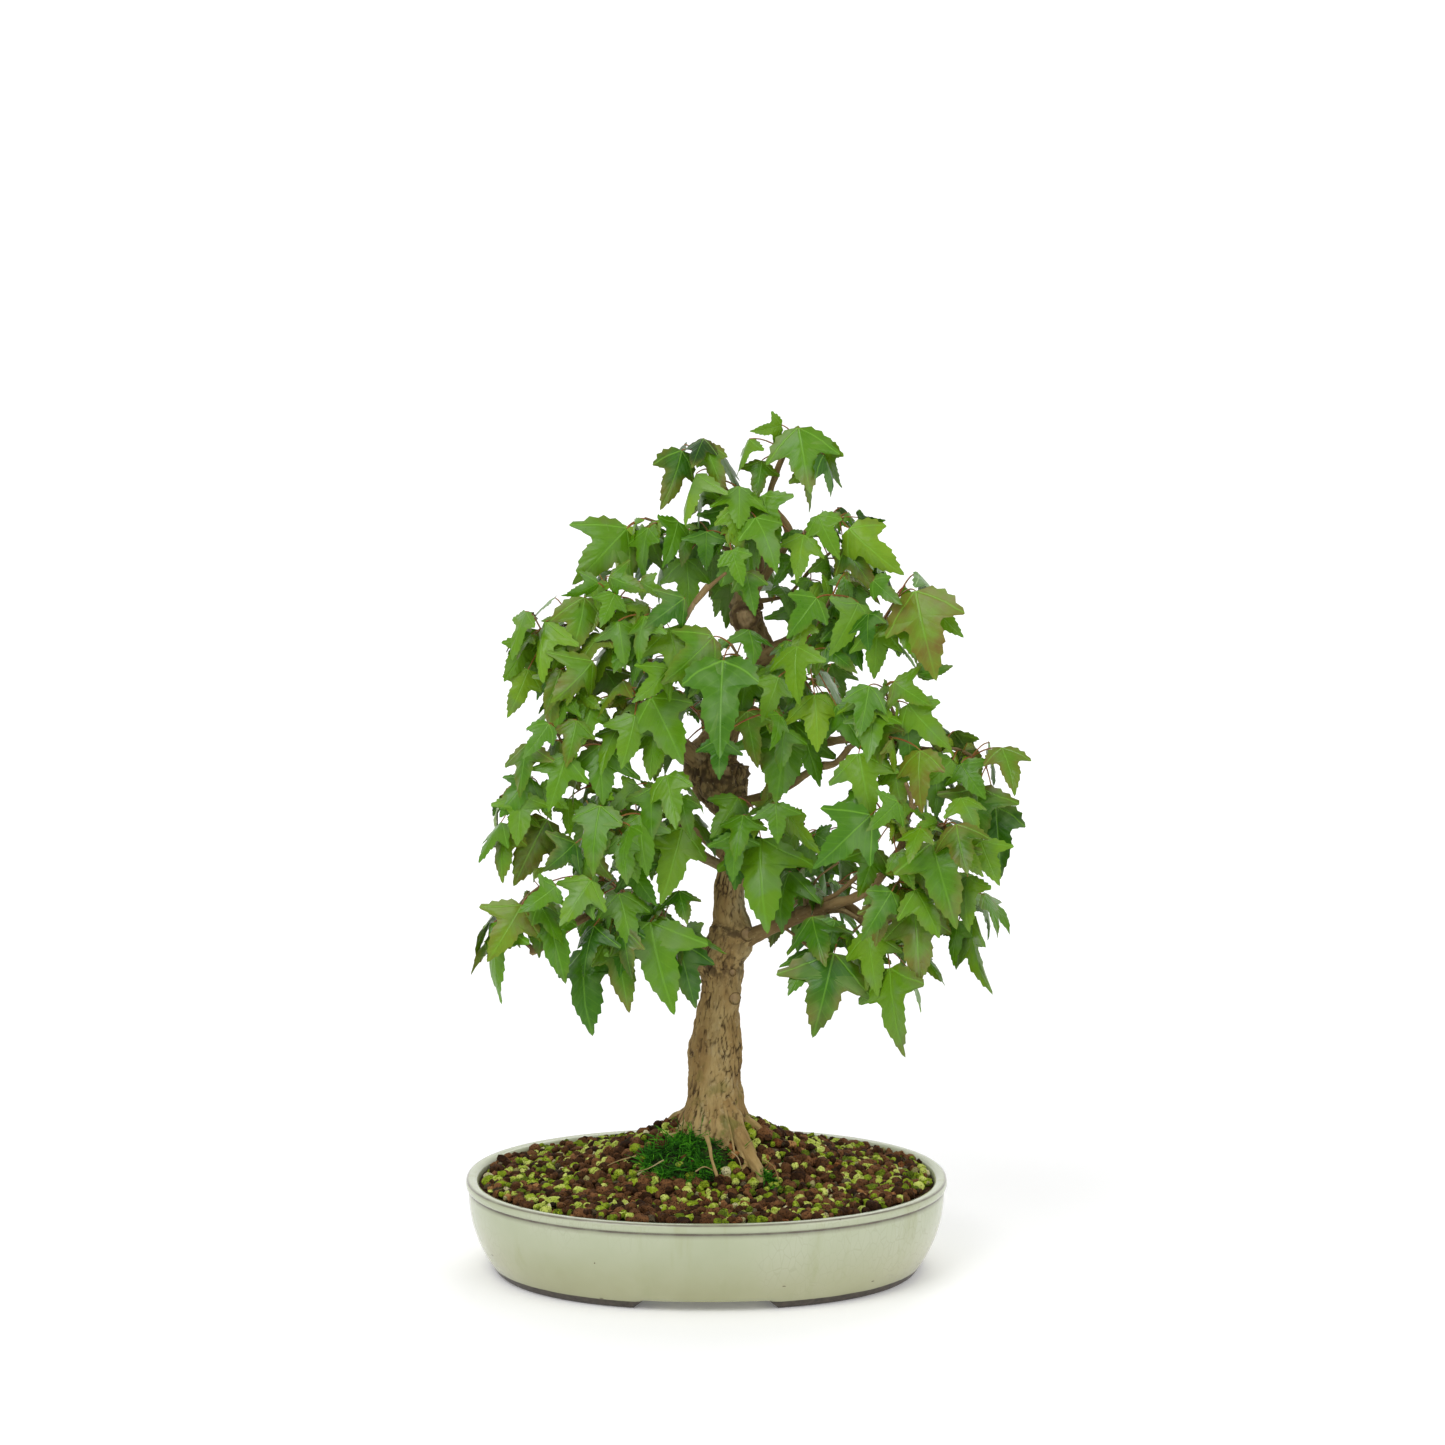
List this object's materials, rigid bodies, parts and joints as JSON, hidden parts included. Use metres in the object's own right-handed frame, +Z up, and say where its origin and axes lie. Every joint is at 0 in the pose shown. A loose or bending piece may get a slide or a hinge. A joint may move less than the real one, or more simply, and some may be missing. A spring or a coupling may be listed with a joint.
{
  "type": "potted bonsai tree",
  "caption": "Broadleaf bonsai with a knobbly trunk, surface roots, spreading limbs and leafy shoots, in gravelly soil in an oval glazed ceramic tray on a foot ring.",
  "frame": {"origin": "on the surface that the pot stands on, at the centre of the whole object's bounding box seen from above", "axes": "+Z up the trunk, the longest extent; +Y away from the front, across the pot, the shortest extent; +X to the right seen from the front"},
  "size_m": [0.319, 0.212, 0.4911],
  "materials": {
    "glaze": "glossy pale celadon glaze with fine streaks over a brown clay foot",
    "soil": "loose brown and green-grey granules, matt",
    "moss": "soft fibrous moss",
    "bark": "rough flaky tan-brown bark",
    "leaf": "satin green leaf on a reddish stalk",
    "plastic_mesh": "black woven plastic mesh",
    "clip_wire": "bare wire"
  },
  "bodies": {
    "root": {"drain_mesh_left": "plastic_mesh", "drain_mesh_right": "plastic_mesh", "leader": "bark", "limb_back_low": "bark", "limb_left_low": "bark", "limb_left_mid": "bark", "limb_left_up": "bark", "limb_left_upper_mid": "bark", "limb_right_low": "bark", "limb_right_low_riser": "bark", "limb_right_mid": "bark", "limb_right_up": "bark", "limb_right_upper_mid": "bark", "mesh_clip_left": "clip_wire", "mesh_clip_right": "clip_wire", "moss": "moss", "pot": "glaze", "shoot_apex": "leaf", "shoot_back_high_left": "leaf", "shoot_back_high_right": "leaf", "shoot_back_left_low": "leaf", "shoot_back_low_left": "leaf", "shoot_back_low_right": "leaf", "shoot_back_right_low": "leaf", "shoot_back_top": "leaf", "shoot_crown_front": "leaf", "shoot_crown_left": "leaf", "shoot_front_high": "leaf", "shoot_front_low": "leaf", "shoot_front_mid": "leaf", "shoot_front_right": "leaf", "shoot_left_inner": "leaf", "shoot_left_low_front": "leaf", "shoot_left_low_inner": "leaf", "shoot_left_low_tip": "leaf", "shoot_left_mid_front": "leaf", "shoot_left_mid_low": "leaf", "shoot_left_mid_tip": "leaf", "shoot_left_mid_top": "leaf", "shoot_left_riser": "leaf", "shoot_left_up_front": "leaf", "shoot_left_up_riser": "leaf", "shoot_left_up_tip": "leaf", "shoot_right_far": "leaf", "shoot_right_low_droop": "leaf", "shoot_right_low_end": "leaf", "shoot_right_low_out": "leaf", "shoot_right_low_sprig": "leaf", "shoot_right_low_under": "leaf", "shoot_right_mid_tip": "leaf", "shoot_right_mid_top": "leaf", "shoot_right_riser_in": "leaf", "shoot_right_riser_out": "leaf", "shoot_right_top": "leaf", "shoot_right_up_inner": "leaf", "shoot_right_up_tip": "leaf", "shoot_top_left": "leaf", "shoot_top_right": "leaf", "soil": "soil", "trunk": "bark"}
  },
  "joints": []
}
